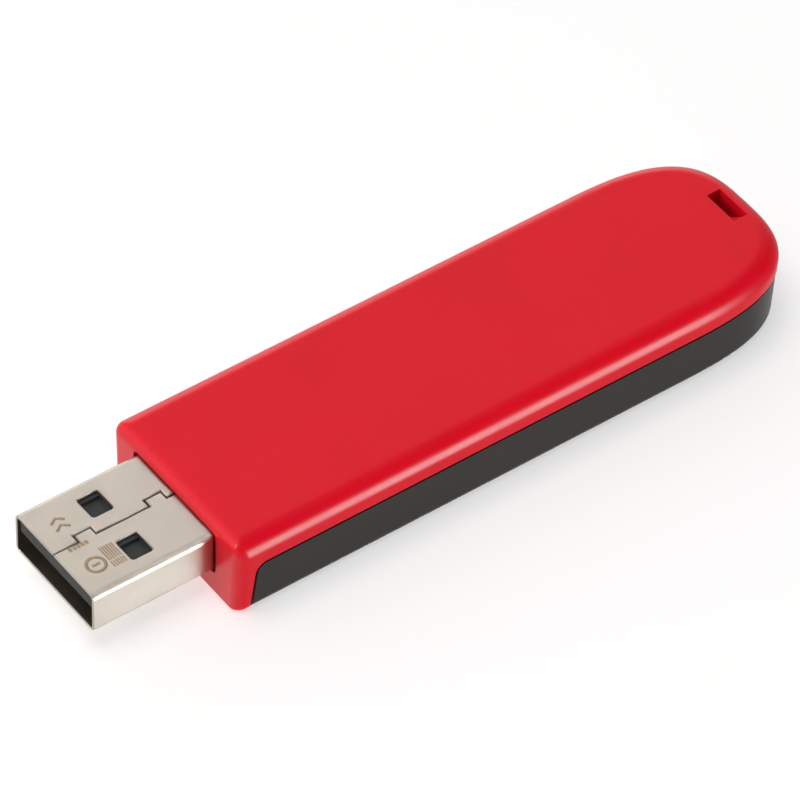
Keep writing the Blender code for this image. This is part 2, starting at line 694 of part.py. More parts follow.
def lead_row(name, chip_x, reach, mid, count, turned, side):
    """A row of gull-wing leads along one side of a chip: one lead, repeated."""
    foot = BOARD_TOP + SOLDER_GAP + LEAD_THICKNESS / 2
    path = [
        (reach - LEAD_REACH, mid),
        (reach + LEAD_SHOULDER, mid),
        (reach + LEAD_FOOT, foot),
        (reach + LEAD_REACH, foot),
    ]
    outline = [(side * a, b) for a, b in ribbon(path, LEAD_THICKNESS)]
    first = -LEAD_PITCH * (count - 1) / 2
    plane = "YZ" if turned else "XZ"
    if not turned:
        outline = [(a + chip_x, b) for a, b in outline]
    start = (first + chip_x if turned else first) - LEAD_WIDTH / 2
    row = prism(name, outline, plane, start, start + LEAD_WIDTH)
    repeat = row.modifiers.new("row", "ARRAY")
    repeat.count = count
    repeat.use_relative_offset = False
    repeat.use_constant_offset = True
    repeat.constant_offset_displace = (LEAD_PITCH, 0, 0) if turned else (0, LEAD_PITCH, 0)
    return row


def make_chip(name, station, size, leads, sides):
    chip = board_box(name, (station, 0.0), size, 1, CHIP_EPOXY, SOLDER_GAP + CHIP_STANDOFF)
    round_edges(chip, CHIP_EDGE, 1)
    mid = BOARD_TOP + SOLDER_GAP + CHIP_STANDOFF + size[2] / 2
    x = BOARD_X + station
    for side in (-1, 1):
        tag = "front" if side < 0 else "rear"
        join(chip, lead_row(f"{name}_leads_{tag}", x, size[0] / 2, mid, leads, False, side))
        if sides == 4:
            tag = "right" if side < 0 else "left"
            join(chip, lead_row(f"{name}_leads_{tag}", x, size[1] / 2, mid, leads, True, side))
    return chip


def make_crystal():
    """A ceramic base with a smaller metal lid on it."""
    length, width, height = CRYSTAL_SIZE
    crystal = board_box("crystal_oscillator", CRYSTAL_PLACE, (length, width, CRYSTAL_BASE), -1,
                        CRYSTAL_STEEL)
    lid_size = (length - 2 * CRYSTAL_RIM, width - 2 * CRYSTAL_RIM, height)
    join(crystal, board_box("crystal_lid", CRYSTAL_PLACE, lid_size, -1, None, 2 * SOLDER_GAP))
    return crystal


def make_regulator():
    """A small three-legged package under the board."""
    regulator = board_box("voltage_regulator", REGULATOR_PLACE, REGULATOR_SIZE, -1, CHIP_EPOXY,
                          2 * SOLDER_GAP)
    x, y = REGULATOR_PLACE
    for i, (along, side) in enumerate(REGULATOR_LEGS):
        place = (x + along, y + side * REGULATOR_SIZE[1] / 2)
        join(regulator, board_box(f"regulator_leg_{i}", place, REGULATOR_LEG_SIZE, -1, None))
    return regulator


def make_two_terminal(name, place, size, material):
    """A block with a slightly larger cap on each end."""
    length, width, height = size
    proud = 2 * END_CAP_PROUD
    cap = length * END_CAP_SHARE
    core = (length - proud, width - proud, height - proud)
    part = board_box(name, place, core, -1, material, SOLDER_GAP + END_CAP_PROUD)
    for i, side in enumerate((-1, 1)):
        cap_place = (place[0] + side * (length - cap) / 2, place[1])
        join(part, board_box(f"{name}_cap_{i}", cap_place, (cap, width, height), -1, None))
    return part


# The drive

def build():
    make_top_cover()
    make_bottom_cover()
    make_plug_shell()
    make_insulator()
    for name, (y, start) in CONTACTS.items():
        make_contact(name, y, start)
    make_board()
    make_chip("nand_flash_chip", NAND_STATION, NAND_SIZE, NAND_LEADS, 2)
    make_chip("controller_chip", CONTROLLER_STATION, CONTROLLER_SIZE, CONTROLLER_LEADS, 4)
    make_crystal()
    make_regulator()
    for i, place in enumerate(CAPACITOR_PLACES, 1):
        make_two_terminal(f"capacitor_{i}", place, CAPACITOR_SIZE, CERAMIC_TAN)
    for i, place in enumerate(RESISTOR_PLACES, 1):
        make_two_terminal(f"resistor_{i}", place, RESISTOR_SIZE, RESISTOR_BLACK)


build()
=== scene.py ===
"""Looks of a USB flash drive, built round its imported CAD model.

Laid out as a Blender add-on and run as a script: each operator makes one group of pieces, one makes
the stage, and a panel in the 3D view's sidebar lists them. Lengths are in metres and Z is up. The
plug points along -X, the rounded rear end along +X, and the base of the case lies on the floor.
"""
import math

import bmesh
import bpy
from bpy.props import FloatProperty, FloatVectorProperty, IntProperty, PointerProperty
from mathutils import Euler, Matrix, Vector


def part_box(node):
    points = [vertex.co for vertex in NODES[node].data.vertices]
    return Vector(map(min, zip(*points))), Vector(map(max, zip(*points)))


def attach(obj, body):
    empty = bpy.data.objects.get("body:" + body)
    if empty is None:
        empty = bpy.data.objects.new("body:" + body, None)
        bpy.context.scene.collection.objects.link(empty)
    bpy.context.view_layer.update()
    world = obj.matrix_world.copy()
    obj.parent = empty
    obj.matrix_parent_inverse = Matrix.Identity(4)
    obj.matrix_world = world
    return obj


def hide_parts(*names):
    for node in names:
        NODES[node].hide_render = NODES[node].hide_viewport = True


bl_info = {
    "name": "USB Flash Drive",
    "version": (1, 0, 0),
    "blender": (4, 5, 0),
    "location": "View3D > Sidebar > Flash Drive",
    "description": "Finishes the packed model of a USB flash drive and lights it",
    "category": "Add Mesh",
}

mm = 0.001

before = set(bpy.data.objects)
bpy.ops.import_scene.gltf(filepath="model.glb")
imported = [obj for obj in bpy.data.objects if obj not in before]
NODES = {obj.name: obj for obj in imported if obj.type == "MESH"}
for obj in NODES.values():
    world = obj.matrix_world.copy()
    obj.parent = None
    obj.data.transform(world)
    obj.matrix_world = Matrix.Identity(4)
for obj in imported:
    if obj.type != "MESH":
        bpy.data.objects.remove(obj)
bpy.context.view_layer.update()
SHELL_LOW, SHELL_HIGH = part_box("usb_plug_shell")
BOARD_LOW, BOARD_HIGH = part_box("circuit_board")

MARK_THICKNESS = 0.006 * mm
TRACK_THICKNESS = 0.05 * mm
LEAD_ROUND = 0.02 * mm
LEAD_ANGLE = 40.0           # degrees; a lead's edges sharper than this are rounded
LEAD_REACH = 0.9 * mm       # from a chip's wall to the tip of its foot
CHIP_STANDOFF = 0.1 * mm    # under a chip's body
LEG_REACH = 0.63 * mm       # from the regulator's wall to the tip of its leg
BUS_STATION = 6.3 * mm      # of the outermost bus track, from the board's middle line


def linear(code):
    """An sRGB hex colour, such as "#C81E2C", as the linear colour that shaders take."""
    shares = [int(code[i:i + 2], 16) / 255 for i in (1, 3, 5)]
    return tuple(s / 12.92 if s <= 0.04045 else ((s + 0.055) / 1.055) ** 2.4 for s in shares)


def colour_setting(name, code, description):
    return FloatVectorProperty(name=name, description=description, subtype="COLOR", size=3,
                               min=0.0, max=1.0, default=linear(code))


def length_setting(name, value, description):
    return FloatProperty(name=name, description=description, subtype="DISTANCE", unit="LENGTH",
                         min=0.0, precision=5, default=value)


# Settings

class FlashDriveCaseSettings(bpy.types.PropertyGroup):
    red: colour_setting("Top cover", "#E00A24", "Colour of the moulded top cover")
    black: colour_setting("Bottom cover", "#36322F", "Colour of the moulded bottom cover")
    edge_round: length_setting("Edge radius", 0.05 * mm, "Rounding of the covers' sharp edges")
    grain: length_setting("Grain", 0.16 * mm, "Pitch of the spark-eroded grain on the covers")


class FlashDrivePlugSettings(bpy.types.PropertyGroup):
    nickel: colour_setting("Shell", "#D6CCC0", "Colour of the nickel plate")
    nylon: colour_setting("Insulator", "#2F3030", "Colour of the nylon insulator")
    gold: colour_setting("Contacts", "#E9C16B", "Colour of the gold plate")
    mark: colour_setting("Marks", "#BBA488", "Colour of the laser-annealed marks")
    edge_round: length_setting("Edge radius", 0.09 * mm, "Rounding of the sheet's cut edges")
    part_round: length_setting("Part radius", 0.05 * mm, "Rounding of the plug's inner parts")
    punch_round: length_setting("Punch radius", 0.17 * mm, "Rounding of the windows and the seam")
    mark_stroke: length_setting("Stroke", 0.32 * mm, "Width of a laser-annealed stroke")
    mark_dash: length_setting("Dash", 0.15 * mm, "Width of a laser-annealed dash")


class FlashDriveBoardSettings(bpy.types.PropertyGroup):
    mask: colour_setting("Solder mask", "#14603A", "Colour of the board's solder mask")
    track: colour_setting("Tracks", "#2B8A54", "Colour of the masked copper tracks")
    tin: colour_setting("Tin", "#C9C9C4", "Colour of tinned leads and end caps")
    gold: colour_setting("Gold", "#E2BC6A", "Colour of the gilded pads")
    epoxy: colour_setting("Epoxy", "#232325", "Colour of the chips' moulded bodies")
    edge_round: length_setting("Edge radius", 0.05 * mm, "Rounding of the board's pieces")
    lead_pitch: length_setting("Lead pitch", 0.5 * mm, "Distance from lead to lead on a chip")
    lead_width: length_setting("Lead width", 0.22 * mm, "Width of a chip's lead")
    lead_thickness: length_setting("Lead thickness", 0.15 * mm, "Thickness of a chip's lead")
    track_width: length_setting("Track width", 0.13 * mm, "Width of a copper track")
    track_gap: length_setting("Track gap", 0.12 * mm, "Gap between two copper tracks")
    pad_radius: length_setting("Pad radius", 0.4 * mm, "Radius of a test pad")
    via_radius: length_setting("Via radius", 0.16 * mm, "Radius of a plated via")
    flash_leads: IntProperty(name="Flash leads", description="Leads on each end of the flash chip",
                             min=1, default=24)
    controller_leads: IntProperty(name="Controller leads", min=1, default=12,
                                  description="Leads on each side of the controller")


class FlashDriveStageSettings(bpy.types.PropertyGroup):
    floor: colour_setting("Floor", "#F8F8F8", "Colour of the floor")
    azimuth: FloatProperty(name="Azimuth", description="0 looks along +Y, in degrees",
                           default=-37.28)
    elevation: FloatProperty(name="Elevation", description="Above the horizon, in degrees",
                             default=45.95)
    roll: FloatProperty(name="Roll", description="About the line of sight, in degrees",
                        default=1.746)
    distance: FloatProperty(name="Distance", description="From the camera to its aim",
                            subtype="DISTANCE", unit="LENGTH", default=0.57677)
    aim: FloatVectorProperty(name="Aim", description="Point the camera looks at",
                             subtype="TRANSLATION", unit="LENGTH", size=3,
                             default=(-0.0008, 0.00036, 0.0043))
    lens: FloatProperty(name="Lens", description="Focal length on a 36 mm sensor, in mm",
                        default=294.05)


# Small tools

def add_node(tree, kind, settings=None, links=None):
    """Add a node: settings set its properties or sockets, and links feed its sockets."""
    node = tree.nodes.new(kind)
    for name, value in (settings or {}).items():
        if isinstance(name, str) and hasattr(node, name):
            setattr(node, name, value)
        else:
            node.inputs[name].default_value = value
    for name, source in (links or {}).items():
        tree.links.new(source, node.inputs[name])
    return node


def start_material(name):
    made = bpy.data.materials.new(name)
    made.use_nodes = True
    made.node_tree.nodes.clear()
    return made, made.node_tree


def finish_material(tree, settings, links):
    shader = add_node(tree, "ShaderNodeBsdfPrincipled", settings, links)
    add_node(tree, "ShaderNodeOutputMaterial", None, {"Surface": shader.outputs[0]})


def noise_over(tree, pitch, detail):
    """Noise with that pitch, in metres, fixed to the piece."""
    place = add_node(tree, "ShaderNodeTexCoord")
    noise = add_node(tree, "ShaderNodeTexNoise", {"Scale": 1 / pitch, "Detail": detail},
                     {"Vector": place.outputs["Object"]})
    return noise.outputs["Fac"]


def grain_bump(tree, pitch, depth, detail=2.0):
    """A bump of even grain with that pitch and depth, in metres."""
    return add_node(tree, "ShaderNodeBump", {"Distance": depth},
                    {"Height": noise_over(tree, pitch, detail)})


def varied(tree, pitch, low, high):
    """A value that wanders between low and high over that pitch."""
    span = add_node(tree, "ShaderNodeMapRange",
                    {"From Min": 0.3, "From Max": 0.7, "To Min": low, "To Max": high},
                    {"Value": noise_over(tree, pitch, 3.0)})
    return span.outputs["Result"]


def varied_colour(tree, pitch, colour, spread):
    """A colour whose brightness wanders by plus or minus spread over that pitch."""
    ramp = varied(tree, pitch, 0.0, 1.0)
    low = [c * (1 - spread) for c in colour]
    high = [min(c * (1 + spread), 1.0) for c in colour]
    mixed = add_node(tree, "ShaderNodeMix",
                     {"data_type": "RGBA", 6: (*low, 1.0), 7: (*high, 1.0)}, {"Factor": ramp})
    return mixed.outputs[2]


# Materials

def moulded_abs(name, colour, grain, roughness, glow):
    """Injection-moulded ABS from a fine spark-eroded mould: satin, with a soft wide highlight.
    Glow is how much light gets into it, which deepens the colour inside its openings."""
    made, tree = start_material(name)
    bump = grain_bump(tree, grain, 0.002 * mm)
    finish_material(
        tree,
        {"IOR": 1.5, "Subsurface Weight": glow,
         "Subsurface Radius": (1.0, 0.12, 0.08), "Subsurface Scale": 0.9 * mm},
        {
            "Base Color": varied_colour(tree, 9 * mm, colour, 0.03),
            "Roughness": varied(tree, 4 * mm, roughness - 0.02, roughness + 0.02),
            "Normal": bump.outputs["Normal"],
        },
    )
    return made


def nickel_plate(colour):
    """Matt nickel plate on rolled steel sheet: satin, with a fine grain that breaks reflections."""
    made, tree = start_material("nickel_plated_steel")
    bump = grain_bump(tree, 0.12 * mm, 0.0007 * mm)
    finish_material(
        tree,
        {"Metallic": 1.0},
        {
            "Base Color": varied_colour(tree, 3 * mm, colour, 0.03),
            "Roughness": varied(tree, 2 * mm, 0.3, 0.36),
            "Normal": bump.outputs["Normal"],
        },
    )
    return made


def filled_nylon(colour):
    """Glass-filled nylon, moulded: dull, with a faint fleck."""
    made, tree = start_material("glass_filled_nylon")
    bump = grain_bump(tree, 0.2 * mm, 0.004 * mm, 4.0)
    finish_material(
        tree,
        {"IOR": 1.53, "Specular IOR Level": 0.4},
        {
            "Base Color": varied_colour(tree, 0.5 * mm, colour, 0.12),
            "Roughness": varied(tree, 1 * mm, 0.45, 0.6),
            "Normal": bump.outputs["Normal"],
        },
    )
    return made


def solder_mask(name, colour):
    """Epoxy solder mask over woven glass: a glossy deep green in which the 0.5 mm weave just shows."""
    made, tree = start_material(name)
    place = add_node(tree, "ShaderNodeTexCoord")
    weave = [
        add_node(tree, "ShaderNodeTexWave", {"bands_direction": way, "Scale": 1 / (3.2 * mm)},
                 {"Vector": place.outputs["Object"]}).outputs["Fac"]
        for way in ("X", "Y")
    ]
    cloth = add_node(tree, "ShaderNodeMath", {"operation": "MULTIPLY"}, {0: weave[0], 1: weave[1]})
    bump = add_node(tree, "ShaderNodeBump", {"Strength": 0.4, "Distance": 0.01 * mm},
                    {"Height": cloth.outputs[0]})
    finish_material(
        tree,
        {"IOR": 1.5},
        {
            "Base Color": varied_colour(tree, 2 * mm, colour, 0.08),
            "Roughness": varied(tree, 1 * mm, 0.22, 0.32),
            "Normal": bump.outputs["Normal"],
        },
    )
    return made


def dull_solid(name, colour, fleck, spread, roughness):
    """A fine-grained dull solid, such as filled epoxy or fired ceramic, flecked at that pitch."""
    made, tree = start_material(name)
    bump = grain_bump(tree, fleck, 0.005 * mm, 4.0)
    finish_material(
        tree,
        {"IOR": 1.5, "Specular IOR Level": 0.4},
        {
            "Base Color": varied_colour(tree, fleck, colour, spread),
            "Roughness": varied(tree, 4 * fleck, roughness - 0.05, roughness + 0.05),
            "Normal": bump.outputs["Normal"],
        },
    )
    return made


def plated_copper(name, colour, roughness):
    """Plate on a stamped copper alloy: bright, with fine rolling marks along X."""
    made, tree = start_material(name)
    place = add_node(tree, "ShaderNodeTexCoord")
    stretched = add_node(tree, "ShaderNodeMapping", {"Scale": (0.1, 1.0, 1.0)},
                         {"Vector": place.outputs["Object"]})
    noise = add_node(tree, "ShaderNodeTexNoise", {"Scale": 1 / (0.1 * mm)},
                     {"Vector": stretched.outputs["Vector"]})
    bump = add_node(tree, "ShaderNodeBump", {"Distance": 0.002 * mm},
                    {"Height": noise.outputs["Fac"]})
    finish_material(
        tree,
        {"Metallic": 1.0},
        {
            "Base Color": varied_colour(tree, 1 * mm, colour, 0.05),
            "Roughness": varied(tree, 0.6 * mm, roughness - 0.05, roughness + 0.05),
            "Normal": bump.outputs["Normal"],
        },
    )
    return made


def annealed_mark(colour):
    """Oxide left by a laser on the nickel: tan, thin and duller than the plate."""
    made, tree = start_material("laser_annealed_oxide")
    finish_material(
        tree,
        {"Metallic": 1.0},
        {
            "Base Color": varied_colour(tree, 0.25 * mm, colour, 0.12),
            "Roughness": varied(tree, 0.3 * mm, 0.38, 0.5),
        },
    )
    return made


# Geometry Nodes

def start_tree(name, sockets):
    """A tree on one geometry, with those named inputs and their defaults, and a material."""
    tree = bpy.data.node_groups.new(name, "GeometryNodeTree")
    tree.interface.new_socket("Geometry", in_out="OUTPUT", socket_type="NodeSocketGeometry")
    tree.interface.new_socket("Geometry", in_out="INPUT", socket_type="NodeSocketGeometry")
    for label, (kind, value) in sockets.items():
        made = tree.interface.new_socket(label, in_out="INPUT", socket_type="NodeSocket" + kind)
        made.default_value = value
    tree.interface.new_socket("Material", in_out="INPUT", socket_type="NodeSocketMaterial")
    return tree, add_node(tree, "NodeGroupInput").outputs


def finish_tree(tree, given, shape):
    """End a tree: its instances become real and take the material."""
    real = add_node(tree, "GeometryNodeRealizeInstances", None, {"Geometry": shape})
    painted = add_node(tree, "GeometryNodeSetMaterial", None,
                       {"Geometry": real.outputs[0], "Material": given["Material"]})
    add_node(tree, "NodeGroupOutput", None, {"Geometry": painted.outputs[0]})
    return tree


def run_tree(piece, tree, **inputs):
    """Run a tree on a piece, with an input's spaces written as underscores, and keep its mesh."""
    run = piece.modifiers.new(tree.name, "NODES")
    run.node_group = tree
    for item in tree.interface.items_tree:
        label = item.name.lower().replace(" ", "_")
        if item.in_out == "INPUT" and label in inputs:
            run[item.identifier] = inputs[label]
    return baked(piece)


def ribbon_tree():
    """A flat ribbon along each path of a piece, copied in equal steps."""
    tree, given = start_tree("ribbons", {
        "Width": ("Float", 0.2 * mm),
        "Thickness": ("Float", 0.02 * mm),
        "Copies": ("Int", 1),
        "Step": ("Vector", (0.0, 0.0, 0.0)),
    })
    path = add_node(tree, "GeometryNodeMeshToCurve", None, {"Mesh": given["Geometry"]})
    level = add_node(tree, "GeometryNodeSetCurveNormal", {"mode": "Z_UP"},
                     {"Curve": path.outputs[0]})
    section = add_node(tree, "GeometryNodeCurvePrimitiveQuadrilateral", None,
                       {"Width": given["Width"], "Height": given["Thickness"]})
    ribbon = add_node(tree, "GeometryNodeCurveToMesh", {"Fill Caps": True},
                      {"Curve": level.outputs[0], "Profile Curve": section.outputs[0]})
    places = add_node(tree, "GeometryNodeMeshLine", None,
                      {"Count": given["Copies"], "Offset": given["Step"]})
    copies = add_node(tree, "GeometryNodeInstanceOnPoints", None,
                      {"Points": places.outputs[0], "Instance": ribbon.outputs[0]})
    return finish_tree(tree, given, copies.outputs[0])


def lead_tree():
    """Rows of leads round a chip: a piece holds one lead, which starts at the origin along +X."""
    tree, given = start_tree("lead_rows", {
        "Leads": ("Int", 12),
        "Pitch": ("Float", 0.5 * mm),
        "Reach": ("Float", 3.5 * mm),
        "Sides": ("Int", 4),
        "Centre": ("Vector", (0.0, 0.0, 0.0)),
    })
    gaps = add_node(tree, "ShaderNodeMath", {"operation": "SUBTRACT", 1: 1.0}, {0: given["Leads"]})
    span = add_node(tree, "ShaderNodeMath", {"operation": "MULTIPLY"},
                    {0: gaps.outputs[0], 1: given["Pitch"]})
    start = add_node(tree, "ShaderNodeMath", {"operation": "MULTIPLY", 1: -0.5},
                     {0: span.outputs[0]})
    corner = add_node(tree, "ShaderNodeCombineXYZ", None,
                      {"X": given["Reach"], "Y": start.outputs[0]})
    step = add_node(tree, "ShaderNodeCombineXYZ", None, {"Y": given["Pitch"]})
    line = add_node(tree, "GeometryNodeMeshLine", None,
                    {"Count": given["Leads"], "Start Location": corner.outputs[0],
                     "Offset": step.outputs[0]})
    row = add_node(tree, "GeometryNodeInstanceOnPoints", None,
                   {"Points": line.outputs[0], "Instance": given["Geometry"]})
    sides = add_node(tree, "GeometryNodePoints", None, {"Count": given["Sides"]})
    index = add_node(tree, "GeometryNodeInputIndex")
    share = add_node(tree, "ShaderNodeMath", {"operation": "DIVIDE"},
                     {0: index.outputs[0], 1: given["Sides"]})
    angle = add_node(tree, "ShaderNodeMath", {"operation": "MULTIPLY", 1: 2 * math.pi},
                     {0: share.outputs[0]})
    turn = add_node(tree, "ShaderNodeCombineXYZ", None, {"Z": angle.outputs[0]})
    ring = add_node(tree, "GeometryNodeInstanceOnPoints", None,
                    {"Points": sides.outputs[0], "Instance": row.outputs[0],
                     "Rotation": turn.outputs[0]})
    placed = add_node(tree, "GeometryNodeTransform", None,
                      {"Geometry": ring.outputs[0], "Translation": given["Centre"]})
    return finish_tree(tree, given, placed.outputs[0])


def block_tree():
    """A block on every point of a piece."""
    tree, given = start_tree("blocks_on_points", {"Size": ("Vector", (mm, mm, mm))})
    block = add_node(tree, "GeometryNodeMeshCube", None, {"Size": given["Size"]})
    blocks = add_node(tree, "GeometryNodeInstanceOnPoints", None,
                      {"Points": given["Geometry"], "Instance": block.outputs[0]})
    return finish_tree(tree, given, blocks.outputs[0])


def disc_tree():
    """A round disc on every point of a piece."""
    tree, given = start_tree("discs_on_points", {
        "Radius": ("Float", 0.4 * mm),
        "Thickness": ("Float", 0.04 * mm),
    })
    disc = add_node(tree, "GeometryNodeMeshCylinder", {"Vertices": 20},
                    {"Radius": given["Radius"], "Depth": given["Thickness"]})
    discs = add_node(tree, "GeometryNodeInstanceOnPoints", None,
                     {"Points": given["Geometry"], "Instance": disc.outputs[0]})
    return finish_tree(tree, given, discs.outputs[0])


def tree_named(name):
    """The tree of that name, built on first use."""
    builders = {
        "ribbons": ribbon_tree,
        "lead_rows": lead_tree,
        "blocks_on_points": block_tree,
        "discs_on_points": disc_tree,
    }
    return bpy.data.node_groups.get(name) or builders[name]()


# Pieces

def keep(piece, slot, *nodes):
    """Hang a finished piece on the root body; it stands for these nodes, which are hidden."""
    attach(piece, "root")
    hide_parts(*nodes)


def collection(name):
    """The collection of that name, made on first use."""
    if name not in bpy.data.collections:
        bpy.context.scene.collection.children.link(bpy.data.collections.new(name))
    return bpy.data.collections[name]


def merged_copy(node, name):
    """A node's solid as one connected mesh, with the flat faces' inner edges dissolved."""
    shape = bmesh.new()
    shape.from_mesh(NODES[node].data)
    bmesh.ops.remove_doubles(shape, verts=shape.verts, dist=0.0005 * mm)
    bmesh.ops.dissolve_limit(shape, angle_limit=math.radians(0.6), verts=shape.verts,
                             edges=shape.edges)
    mesh = bpy.data.meshes.new(name)
    shape.to_mesh(mesh)
    shape.free()
    for layer in [a.name for a in mesh.attributes if "normal" in a.name]:
        mesh.attributes.remove(mesh.attributes[layer])
    piece = bpy.data.objects.new(name, mesh)
    collection("flash_drive").objects.link(piece)
    return piece


def finished(piece, material, edge_round, segments=2, angle=28.0):
    """Round the sharp edges, shade the round faces smooth and leave a plain mesh."""
    piece.data.materials.clear()
    piece.data.materials.append(material)
    for face in piece.data.polygons:
        face.material_index = 0
    piece.data.shade_smooth()
    bevel = piece.modifiers.new("edge_round", "BEVEL")
    bevel.width = edge_round
    bevel.segments = segments
    bevel.limit_method = "ANGLE"
    bevel.angle_limit = math.radians(angle)
    bevel.miter_outer = "MITER_ARC"
    flat = piece.modifiers.new("flat_faces", "WEIGHTED_NORMAL")
    flat.weight = 90
    flat.keep_sharp = True
    return baked(piece)


def baked(piece):
    """Turn what the modifiers make into the object's own mesh."""
    seen = piece.evaluated_get(bpy.context.evaluated_depsgraph_get())
    mesh = bpy.data.meshes.new_from_object(seen)
    mesh.name = piece.name
    piece.modifiers.clear()
    old = piece.data
    piece.data = mesh
    bpy.data.meshes.remove(old)
    return piece


def new_piece(name, corners, edges=(), faces=()):
    """An object with those corners, edges and faces, at the origin."""
    mesh = bpy.data.meshes.new(name)
    mesh.from_pydata([tuple(c) for c in corners], list(edges), list(faces))
    piece = bpy.data.objects.new(name, mesh)
    collection("flash_drive").objects.link(piece)
    return piece


def polylines(name, paths):
    """An object of edges alone, along each of those paths."""
    corners, edges = [], []
    for path in paths:
        first = len(corners)
        count = len(path) - (path[0] == path[-1])
        corners += path[:count]
        edges += [(first + i, first + (i + 1) % count) for i in range(len(path) - 1)]
    return new_piece(name, corners, edges)


def need(pieces):
    """Stop the script if a piece came out empty."""
    for piece in pieces:
        if not piece.data.polygons:
            raise RuntimeError(piece.name + " has no faces")
    return {"FINISHED"}


class FLASHDRIVE_OT_covers(bpy.types.Operator):
    """Make the two covers of the case"""

    bl_idname = "flash_drive.covers"
    bl_label = "Covers"

    def execute(self, context):
        case = context.scene.flash_drive_case
        red = moulded_abs("moulded_abs_red", case.red, case.grain, roughness=0.32, glow=0.5)
        black = moulded_abs("moulded_abs_black", case.black, case.grain, roughness=0.38, glow=0.0)
        top = finished(merged_copy("top_cover", "red_top_cover"), red, case.edge_round)
        keep(top, "red_plastic", "top_cover")
        bottom = finished(merged_copy("bottom_cover", "black_bottom_cover"), black, case.edge_round)
        keep(bottom, "black_plastic", "bottom_cover")
        return need([top, bottom])


class FLASHDRIVE_OT_plug(bpy.types.Operator):
    """Make the shell, the insulator and the contacts of the plug"""

    bl_idname = "flash_drive.plug"
    bl_label = "Plug"

    def execute(self, context):
        plug = context.scene.flash_drive_plug
        nickel = nickel_plate(plug.nickel)
        shell = merged_copy("usb_plug_shell", "folded_plug_shell")
        round_punched(shell, plug.punch_round)
        finished(shell, nickel, plug.edge_round)
        keep(shell, "nickel_plated_steel", "usb_plug_shell")
        insulator = finished(merged_copy("plug_insulator", "nylon_insulator"),
                             filled_nylon(plug.nylon), plug.part_round)
        keep(insulator, "grey_nylon", "plug_insulator")
        gold = plated_copper("gold_plated_bronze", plug.gold, 0.25)
        contacts = []
        for node in ("vbus_contact", "data_minus_contact", "data_plus_contact", "ground_contact"):
            contact = finished(merged_copy(node, node + "_spring"), gold, plug.part_round)
            keep(contact, "gold_plate", node)
            contacts.append(contact)
        for piece in (shell, insulator, *contacts):
            collection("plug").objects.link(piece)
        return need([shell, insulator, *contacts])


def round_punched(shell, width):
    """Round the upper edges of what is punched and folded in the top of the plug's shell."""
    top = SHELL_HIGH.z - 0.001 * mm
    side = SHELL_HIGH.y - 1 * mm
    front = SHELL_LOW.x + 0.2 * mm
    sharp = 1.0

    def is_punched(edge):
        ends = [v.co for v in edge.verts]
        return (edge.is_manifold and edge.calc_face_angle() > sharp
                and all(end.z > top and abs(end.y) < side for end in ends)
                and max(end.x for end in ends) > front)

    shape = bmesh.new()
    shape.from_mesh(shell.data)
    edges = [edge for edge in shape.edges if is_punched(edge)]
    bmesh.ops.bevel(shape, geom=edges, offset=width, segments=4, profile=0.5, affect="EDGES",
                    clamp_overlap=False)
    shape.to_mesh(shell.data)
    shape.free()


def ring(x, y, radius, z, steps=32):
    """A closed circle as a path."""
    turns = [2 * math.pi * (i % steps) / steps for i in range(steps + 1)]
    return [(x + radius * math.cos(t), y + radius * math.sin(t), z) for t in turns]


class FLASHDRIVE_OT_marks(bpy.types.Operator):
    """Make the laser-annealed marks on the plug, plain shapes that say nothing"""

    bl_idname = "flash_drive.marks"
    bl_label = "Marks"

    def execute(self, context):
        plug = context.scene.flash_drive_plug
        x, y, z = SHELL_LOW.x, (SHELL_LOW.y + SHELL_HIGH.y) / 2, SHELL_HIGH.z
        oxide = annealed_mark(plug.mark)

        def path(*spots):
            return [(x + along * mm, y + across * mm, z) for along, across in spots]

        def marked(name, paths, width, **inputs):
            return run_tree(polylines(name, paths), tree_named("ribbons"), width=width,
                            thickness=MARK_THICKNESS, material=oxide, **inputs)

        strokes = marked("annealed_strokes", [
            path((1.75, 3.0), (2.45, 3.5), (3.15, 3.0)),
            path((1.75, 2.1), (2.45, 2.6), (3.15, 2.1)),
            ring(x + 2.35 * mm, y - 2.95 * mm, 0.85 * mm, z),
            path((1.95, -2.95), (2.75, -2.95)),
        ], plug.mark_stroke)
        dashes = marked("annealed_dashes", [path((3.6, -4.1), (3.6, -3.4)),
                                            path((3.6, -3.2), (3.6, -1.5))],
                        plug.mark_dash, copies=6, step=(0.24 * mm, 0.0, 0.0))
        bars = marked("annealed_bars", [path((1.45, -0.55), (1.45, -0.1))],
                      plug.mark_stroke, copies=5, step=(0.42 * mm, 0.0, 0.0))
        for piece in (strokes, dashes, bars):
            keep(piece, "nickel_plated_steel")
            collection("plug").objects.link(piece)
        return need([strokes, dashes, bars])


def blocks(name, places, size, material, edge_round):
    """Equal blocks centred on those places, with rounded edges."""
    made = run_tree(new_piece(name, places), tree_named("blocks_on_points"), size=size,
                    material=material)
    return finished(made, material, edge_round)


def moulded_body(name, low, high, material, edge_round):
    """A chip's body: its walls lean in from the middle towards both faces, and a dimple marks
    the first lead."""
    lean = 0.09 * (high.z - low.z)
    middle = (low.z + high.z) / 2
    corners = []
    for z, inset in ((low.z, lean), (middle, 0.0), (high.z, lean)):
        corners += [(low.x + inset, low.y + inset, z), (high.x - inset, low.y + inset, z),
                    (high.x - inset, high.y - inset, z), (low.x + inset, high.y - inset, z)]
    sides = [(r + i, r + (i + 1) % 4, r + 4 + (i + 1) % 4, r + 4 + i)
             for r in (0, 4) for i in range(4)]
    body = new_piece(name, corners, (), [(3, 2, 1, 0), (8, 9, 10, 11), *sides])
    radius = min(0.5 * mm, (high.y - low.y) / 10)
    if high.z > BOARD_HIGH.z:
        dimple(body, (low.x + 3 * radius, high.y - 3 * radius, high.z), radius)
    return finished(body, material, edge_round)


